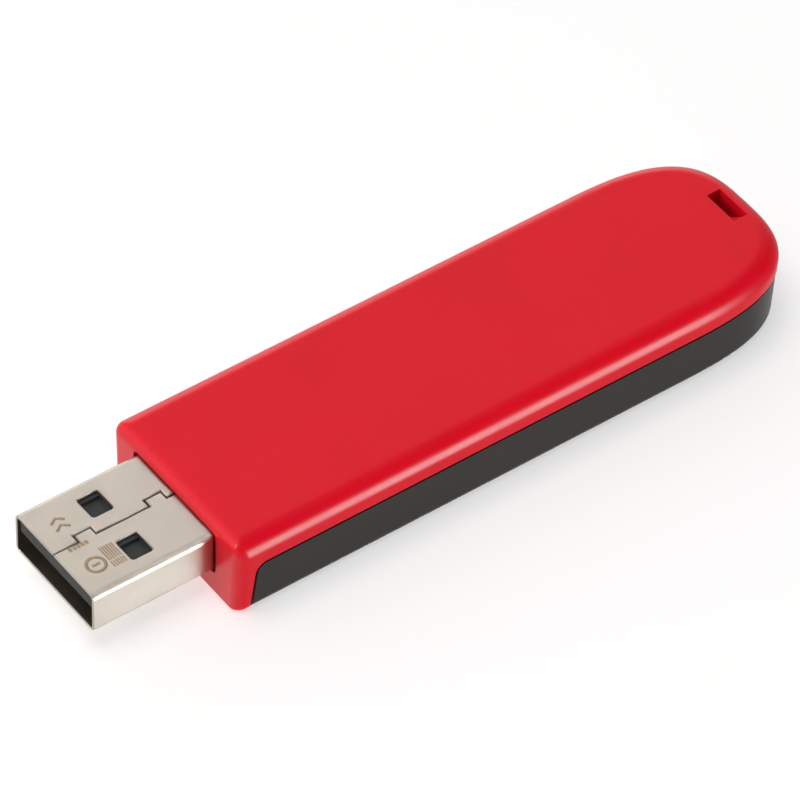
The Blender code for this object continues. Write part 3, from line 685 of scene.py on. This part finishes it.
def dimple(body, place, radius):
    """Sink a shallow round dimple into the top of a body."""
    shape = bmesh.new()
    bmesh.ops.create_cone(shape, cap_ends=True, segments=24, radius1=radius, radius2=radius,
                          depth=0.12 * mm, matrix=Matrix.Translation(place))
    mesh = bpy.data.meshes.new("dimple")
    shape.to_mesh(mesh)
    shape.free()
    tool = bpy.data.objects.new("dimple", mesh)
    bpy.context.scene.collection.objects.link(tool)
    sink = body.modifiers.new("dimple", "BOOLEAN")
    sink.operation = "DIFFERENCE"
    sink.solver = "EXACT"
    sink.object = tool
    baked(body)
    bpy.data.objects.remove(tool)


def lead_path(middle, foot):
    """A gull-wing lead from a chip's wall at the middle height down to its foot."""
    return [(-0.2 * mm, 0.0, middle), (0.28 * mm, 0.0, middle), (0.36 * mm, 0.0, middle - 0.05 * mm),
            (0.46 * mm, 0.0, foot + 0.06 * mm), (0.54 * mm, 0.0, foot), (LEAD_REACH, 0.0, foot)]


def lead_feet(box_low, box_high, leads, pitch, sides, z):
    """The middle of every foot of a chip, from the box that holds the chip with its leads."""
    centre = (box_low + box_high) / 2
    reach = (box_high.x - box_low.x) / 2 - 0.25 * mm
    made = []
    for side in range(sides):
        turn = Matrix.Rotation(2 * math.pi * side / sides, 3, "Z")
        for i in range(leads):
            place = turn @ Vector((reach, pitch * (i - (leads - 1) / 2), 0.0))
            made.append((centre.x + place.x, centre.y + place.y, z))
    return made


def make_chip(board, node, body_name, leads, sides, epoxy, tin):
    """A chip: its moulded body, and its rows of leads."""
    low, high = (Vector(c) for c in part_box(node))
    body_low, body_high = low.copy(), high.copy()
    body_low.x, body_high.x = low.x + LEAD_REACH, high.x - LEAD_REACH
    if sides == 4:
        body_low.y, body_high.y = low.y + LEAD_REACH, high.y - LEAD_REACH
    body_low.z = low.z + CHIP_STANDOFF
    body = moulded_body(body_name + "_body", body_low, body_high, epoxy, board.edge_round)
    keep(body, "chip_epoxy", node)
    foot = low.z + board.lead_thickness / 2
    middle = (body_low.z + body_high.z) / 2
    lead = run_tree(polylines(body_name + "_leads", [lead_path(middle, foot)]),
                    tree_named("ribbons"), width=board.lead_width,
                    thickness=board.lead_thickness, material=tin)
    centre = (low + high) / 2
    rows = run_tree(lead, tree_named("lead_rows"), leads=leads, pitch=board.lead_pitch,
                    reach=body_high.x - centre.x, sides=sides,
                    centre=(centre.x, centre.y, 0.0), material=tin)
    keep(finished(rows, tin, LEAD_ROUND, 1, LEAD_ANGLE), "crystal_steel", node)
    return [body, rows]


class FLASHDRIVE_OT_board(bpy.types.Operator):
    """Make the circuit board with its copper tracks, pads and vias"""

    bl_idname = "flash_drive.board"
    bl_label = "Circuit board"

    def execute(self, context):
        board = context.scene.flash_drive_board
        plate = finished(merged_copy("circuit_board", "masked_board"),
                         solder_mask("solder_mask_green", board.mask), board.edge_round)
        plate.data.materials.append(dull_solid("cut_glass_epoxy", linear("#B5A36C"), 0.12 * mm,
                                               0.2, 0.6))
        for face in plate.data.polygons:
            face.material_index = int(abs(face.normal.z) < 0.5)
        keep(plate, "board_green", "circuit_board")
        made = [plate, *make_tracks(board), *make_pads(board)]
        return need(made)


def make_tracks(board):
    """Copper tracks under the mask: four from the contacts, and a bus along each long edge."""
    copper = solder_mask("masked_copper_tracks", board.track)
    z = BOARD_HIGH.z
    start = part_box("ground_contact")[1].x
    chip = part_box("controller_chip")
    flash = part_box("nand_flash_chip")
    feeds = []
    for node, row in (("ground_contact", -2.75), ("data_plus_contact", -0.25),
                      ("data_minus_contact", 0.25), ("vbus_contact", 2.75)):
        y = sum(corner.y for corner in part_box(node)) / 2
        feeds.append([(start - 0.5 * mm, y, z), (start + 0.3 * mm, y, z),
                      (chip[0].x - 0.3 * mm, row * mm, z), (chip[0].x + 0.3 * mm, row * mm, z)])
    made = [run_tree(polylines("contact_tracks", feeds), tree_named("ribbons"),
                     width=2 * board.track_width, thickness=TRACK_THICKNESS, material=copper)]
    pitch = board.track_width + board.track_gap
    rear = flash[1].x
    for side, name in ((1, "left_bus_tracks"), (-1, "right_bus_tracks")):
        bus = [(chip[1].x - 2.25 * mm, side * 4.2 * mm, z),
               (chip[1].x - 2.25 * mm, side * 5.2 * mm, z),
               (chip[1].x - 1.15 * mm, side * BUS_STATION, z),
               (rear - 1.5 * mm, side * BUS_STATION, z),
               (rear + 1.4 * mm, side * 3.4 * mm, z), (rear + 1.4 * mm, side * 2.9 * mm, z)]
        made.append(run_tree(polylines(name, [bus]), tree_named("ribbons"),
                             width=board.track_width, thickness=TRACK_THICKNESS, copies=4,
                             step=(-2 * pitch, side * pitch, 0.0), material=copper))
    for piece in made:
        keep(piece, "board_green", "circuit_board")
    return made


def make_pads(board):
    """Gilded test pads and vias on both faces, and a tinned pad under every lead."""
    gold = plated_copper("gold_on_copper_pads", board.gold, 0.3)
    tin = plated_copper("reflowed_tin", board.tin, 0.35)
    top, under = BOARD_HIGH.z, BOARD_LOW.z
    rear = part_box("nand_flash_chip")[1].x
    pads = [(rear + (3.5 + 2.0 * i) * mm, (j - 1.5) * 1.8 * mm, z)
            for i in range(5) for j in range(4) for z in (top, under)]
    vias = [(rear + (2.5 + 1.0 * i) * mm, side * 4.6 * mm, z)
            for i in range(11) for side in (-1, 1) for z in (top, under)]
    vias += [(rear - (2.0 + 1.5 * i) * mm, side * 5.4 * mm, under)
             for i in range(10) for side in (-1, 1)]
    discs = run_tree(new_piece("test_pads", pads), tree_named("discs_on_points"),
                     radius=board.pad_radius, thickness=0.06 * mm, material=gold)
    holes = run_tree(new_piece("plated_vias", vias), tree_named("discs_on_points"),
                     radius=board.via_radius, thickness=0.05 * mm, material=gold)
    feet = []
    for node, leads, sides in (("nand_flash_chip", board.flash_leads, 2),
                               ("controller_chip", board.controller_leads, 4)):
        low, high = (Vector(c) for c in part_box(node))
        feet += lead_feet(low, high, leads, board.lead_pitch, sides, top)
    solder = run_tree(new_piece("lead_pads", feet), tree_named("discs_on_points"),
                      radius=0.19 * mm, thickness=0.07 * mm, material=tin)
    for piece, slot in ((discs, "gold_plate"), (holes, "gold_plate"), (solder, "crystal_steel")):
        keep(piece, slot, "circuit_board")
    return [discs, holes, solder]


class FLASHDRIVE_OT_chips(bpy.types.Operator):
    """Make the flash chip and the controller with their leads"""

    bl_idname = "flash_drive.chips"
    bl_label = "Chips"

    def execute(self, context):
        board = context.scene.flash_drive_board
        epoxy = dull_solid("silica_filled_epoxy", board.epoxy, 0.08 * mm, 0.15, 0.5)
        tin = plated_copper("tin_plated_leads", board.tin, 0.32)
        made = make_chip(board, "nand_flash_chip", "flash_chip", board.flash_leads, 2, epoxy, tin)
        made += make_chip(board, "controller_chip", "controller", board.controller_leads, 4,
                          epoxy, tin)
        made += make_regulator(board, epoxy, tin)
        return need(made)


def make_regulator(board, epoxy, tin):
    """A small three-legged package that hangs under the board."""
    low, high = (Vector(c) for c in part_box("voltage_regulator"))
    body_low = Vector((low.x, low.y + LEG_REACH, low.z))
    body_high = Vector((high.x, high.y - LEG_REACH, low.z + 1.0 * mm))
    body = moulded_body("regulator_body", body_low, body_high, epoxy, board.edge_round)
    keep(body, "chip_epoxy", "voltage_regulator")
    foot = high.z - 0.06 * mm
    middle = (body_low.z + body_high.z) / 2
    x = (low.x + high.x) / 2
    paths = []
    for along, side in ((-0.95 * mm, -1), (0.95 * mm, -1), (0.0, 1)):
        wall = body_high.y if side > 0 else body_low.y
        paths.append([(x + along, wall + side * out * mm, z) for out, z in (
            (-0.15, middle), (0.14, middle), (0.2, middle + 0.06 * mm),
            (0.27, foot - 0.06 * mm), (0.33, foot), (0.62, foot))])
    legs = run_tree(polylines("regulator_legs", paths), tree_named("ribbons"), width=0.44 * mm,
                    thickness=0.12 * mm, material=tin)
    keep(finished(legs, tin, LEAD_ROUND, 1, LEAD_ANGLE), "crystal_steel", "voltage_regulator")
    return [body, legs]


class FLASHDRIVE_OT_small_parts(bpy.types.Operator):
    """Make the crystal, the capacitors and the resistors"""

    bl_idname = "flash_drive.small_parts"
    bl_label = "Small parts"

    def execute(self, context):
        board = context.scene.flash_drive_board
        tin = plated_copper("tin_plated_end_caps", board.tin, 0.36)
        titanate = dull_solid("barium_titanate_ceramic", linear("#A98763"), 0.1 * mm, 0.1, 0.45)
        glaze = dull_solid("glazed_alumina", linear("#1D1D1F"), 0.3 * mm, 0.08, 0.3)
        made = make_crystal(board, glaze)
        made += end_capped(board, "capacitor", 6, (1.54, 0.74, 0.74), (0.32, 0.8, 0.8), titanate,
                           "ceramic_tan", tin)
        made += end_capped(board, "resistor", 5, (0.94, 0.44, 0.29), (0.2, 0.5, 0.35), glaze,
                           "resistor_black", tin)
        return need(made)


def make_crystal(board, ceramic):
    """A ceramic tray with a seam-welded metal lid, hung under the board."""
    low, high = (Vector(c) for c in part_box("crystal_oscillator"))
    centre = (low + high) / 2
    tray_height = 0.66 * mm
    tray = blocks("crystal_tray", [(centre.x, centre.y, high.z - tray_height / 2)],
                  (high.x - low.x, high.y - low.y, tray_height), ceramic, 0.16 * mm)
    lid_height = high.z - tray_height - low.z + 0.1 * mm
    rim = 0.35 * mm
    lid = blocks("crystal_lid", [(centre.x, centre.y, low.z + lid_height / 2)],
                 (high.x - low.x - 2 * rim, high.y - low.y - 2 * rim, lid_height),
                 plated_copper("nickel_plated_kovar", linear("#CFCBC4"), 0.3), 0.15 * mm)
    keep(tray, "resistor_black", "crystal_oscillator")
    keep(lid, "crystal_steel", "crystal_oscillator")
    return [tray, lid]


def end_capped(board, kind, count, core_size, cap_size, ceramic, slot, tin):
    """All the parts of one kind: their ceramic cores, and the tinned cap on each end."""
    nodes = [f"{kind}_{i}" for i in range(1, count + 1)]
    cores, caps = [], []
    for node in nodes:
        low, high = (Vector(c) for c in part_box(node))
        centre = (low + high) / 2
        cores.append(tuple(centre))
        for side in (-1, 1):
            end = (high.x - low.x) / 2 - cap_size[0] * mm / 2
            caps.append((centre.x + side * end, centre.y, centre.z))
    core = blocks(kind + "_cores", cores, tuple(s * mm for s in core_size), ceramic, 0.04 * mm)
    cap = blocks(kind + "_end_caps", caps, tuple(s * mm for s in cap_size), tin, 0.07 * mm)
    keep(core, slot, *nodes)
    keep(cap, "crystal_steel", *nodes)
    return [core, cap]


class FLASHDRIVE_OT_stage(bpy.types.Operator):
    """Make the floor, the soft lights and the camera"""

    bl_idname = "flash_drive.stage"
    bl_label = "Stage"

    def execute(self, context):
        stage = context.scene.flash_drive_stage
        make_floor(stage)
        make_lights()
        make_surroundings()
        make_camera(stage)
        context.scene.view_settings.view_transform = "Standard"
        return {"FINISHED"}


# Stage

def make_floor(stage):
    """A wide matt floor a hair under the drive, clear when seen from below."""
    shape = bmesh.new()
    bmesh.ops.create_grid(shape, x_segments=1, y_segments=1, size=3.0,
                          matrix=Matrix.Translation((0, 0, -0.01 * mm)))
    mesh = bpy.data.meshes.new("floor")
    shape.to_mesh(mesh)
    shape.free()
    floor = bpy.data.objects.new("floor", mesh)
    collection("ground").objects.link(floor)
    made, tree = start_material("matt_paper_floor")
    side = add_node(tree, "ShaderNodeNewGeometry")
    front = add_node(tree, "ShaderNodeMath", {"operation": "SUBTRACT", 0: 1.0},
                     {1: side.outputs["Backfacing"]})
    finish_material(tree, {"Base Color": (*stage.floor, 1.0), "Roughness": 0.9,
                           "Specular IOR Level": 0.1}, {"Alpha": front.outputs[0]})
    mesh.materials.append(made)
    floor.visible_glossy = False


def soft_light(name, direction, distance, width, height, radiance, lit=None, shading=None):
    """A rectangular soft box that faces the drive from that direction. It may light one
    collection alone, with shadows from another alone, and so shine up through the floor."""
    lamp = bpy.data.lights.new(name, "AREA")
    lamp.shape = "RECTANGLE"
    lamp.size = width
    lamp.size_y = height
    lamp.energy = math.pi * width * height * radiance
    made = bpy.data.objects.new(name, lamp)
    place = Vector(direction).normalized() * distance
    made.location = place
    made.rotation_euler = place.to_track_quat("Z", "Y").to_euler()
    made.visible_camera = False
    if lit:
        lamp.cycles.use_multiple_importance_sampling = False
        made.light_linking.receiver_collection = lit
        made.light_linking.blocker_collection = shading
    bpy.context.scene.collection.objects.link(made)
    return made


def make_lights():
    """One soft box lights everything from above, and the rest add to the floor, the drive or its
    plug alone. The two above the drive stay out of reflections, and the low ones are under it."""
    drive = bpy.data.collections["flash_drive"]
    plug = bpy.data.collections["plug"]
    ground = bpy.data.collections["ground"]
    above = (-0.16, 0.0, 1.0)
    for lamp in (soft_light("overhead_softbox", above, 0.9, 0.6, 0.6, 2.1),
                 soft_light("drive_softbox", above, 0.9, 0.6, 0.6, 2.4, drive, drive)):
        lamp.visible_glossy = False
    soft_light("floor_softbox", above, 0.9, 0.6, 0.6, 5.0, ground, ground)
    soft_light("front_softbox", (-0.85, 0.15, 0.6), 0.9, 0.3, 0.3, 8.3, drive, drive)
    soft_light("rear_softbox", (0.55, 0.8, 0.2), 0.9, 0.6, 0.3, 1.1, drive, drive)
    soft_light("right_strip", (0.42, -0.88, -0.12), 1.0, 0.24, 0.6, 11.5, drive, drive)
    soft_light("under_panel", (0.42, 0.2, -0.88), 0.9, 0.7, 0.7, 0.3, drive, drive)
    soft_light("plug_back_panel", (0.42, 0.55, 0.72), 0.9, 0.7, 0.7, 0.56, plug, drive)
    soft_light("plug_top_panel", (0.0, 0.0, 1.0), 0.9, 0.4, 0.4, 0.7, plug, drive)
    soft_light("plug_upper_panel", (0.43, -0.25, 0.86), 0.9, 0.5, 0.45, 1.35, plug, drive)
    soft_light("plug_side_panel", (0.42, -0.8, 0.38), 0.9, 0.7, 0.5, 1.45, plug, drive)
    soft_light("plug_low_panel", (0.42, -0.55, -0.8), 0.9, 0.7, 0.5, 1.05, plug, drive)


def make_surroundings():
    """A pale room on the far left that darkens upwards and to the near right."""
    world = bpy.data.worlds.new("studio")
    world.use_nodes = True
    tree = world.node_tree
    sky = tree.nodes["Background"]
    place = add_node(tree, "ShaderNodeTexCoord")
    towards = add_node(tree, "ShaderNodeVectorMath",
                       {"operation": "DOT_PRODUCT", 1: (-0.3, 0.85, -0.35)},
                       {0: place.outputs["Generated"]})
    share = add_node(tree, "ShaderNodeMapRange", {"From Min": -0.7, "From Max": 0.6, "To Max": 0.85},
                     {"Value": towards.outputs["Value"]})
    faded = add_node(tree, "ShaderNodeMath", {"operation": "POWER", 1: 1.6},
                     {0: share.outputs["Result"]})
    tree.links.new(faded.outputs[0], sky.inputs["Strength"])
    sky.inputs["Color"].default_value = (*linear("#FFFDFA"), 1.0)
    bpy.context.scene.world = world


def make_camera(stage):
    """A long lens aimed at the middle of the drive."""
    view = bpy.data.cameras.new("camera")
    view.sensor_width = 36.0
    view.lens = stage.lens
    view.clip_start = 0.01
    camera = bpy.data.objects.new("camera", view)
    turn = Euler((math.radians(90 - stage.elevation), 0, math.radians(stage.azimuth))).to_matrix()
    turn = turn @ Matrix.Rotation(math.radians(stage.roll), 3, "Z")
    camera.location = Vector(stage.aim) + turn @ Vector((0, 0, stage.distance))
    camera.rotation_euler = turn.to_euler()
    bpy.context.scene.collection.objects.link(camera)
    bpy.context.scene.camera = camera


# Add-on

class FLASHDRIVE_PT_panel(bpy.types.Panel):
    bl_label = "Flash Drive"
    bl_idname = "FLASHDRIVE_PT_panel"
    bl_space_type = "VIEW_3D"
    bl_region_type = "UI"
    bl_category = "Flash Drive"

    def draw(self, context):
        for operator in OPERATORS:
            self.layout.operator(operator.bl_idname)


SETTINGS = {
    "flash_drive_case": FlashDriveCaseSettings,
    "flash_drive_plug": FlashDrivePlugSettings,
    "flash_drive_board": FlashDriveBoardSettings,
    "flash_drive_stage": FlashDriveStageSettings,
}
OPERATORS = (
    FLASHDRIVE_OT_covers,
    FLASHDRIVE_OT_plug,
    FLASHDRIVE_OT_marks,
    FLASHDRIVE_OT_board,
    FLASHDRIVE_OT_chips,
    FLASHDRIVE_OT_small_parts,
    FLASHDRIVE_OT_stage,
)
CLASSES = (*SETTINGS.values(), *OPERATORS, FLASHDRIVE_PT_panel)


def register():
    for cls in CLASSES:
        bpy.utils.register_class(cls)
    for name, group in SETTINGS.items():
        setattr(bpy.types.Scene, name, PointerProperty(type=group))


def unregister():
    for name in SETTINGS:
        delattr(bpy.types.Scene, name)
    for cls in reversed(CLASSES):
        bpy.utils.unregister_class(cls)


def main():
    register()
    bpy.ops.flash_drive.covers()
    bpy.ops.flash_drive.plug()
    bpy.ops.flash_drive.marks()
    bpy.ops.flash_drive.board()
    bpy.ops.flash_drive.chips()
    bpy.ops.flash_drive.small_parts()
    bpy.ops.flash_drive.stage()


if __name__ == "__main__":
    main()
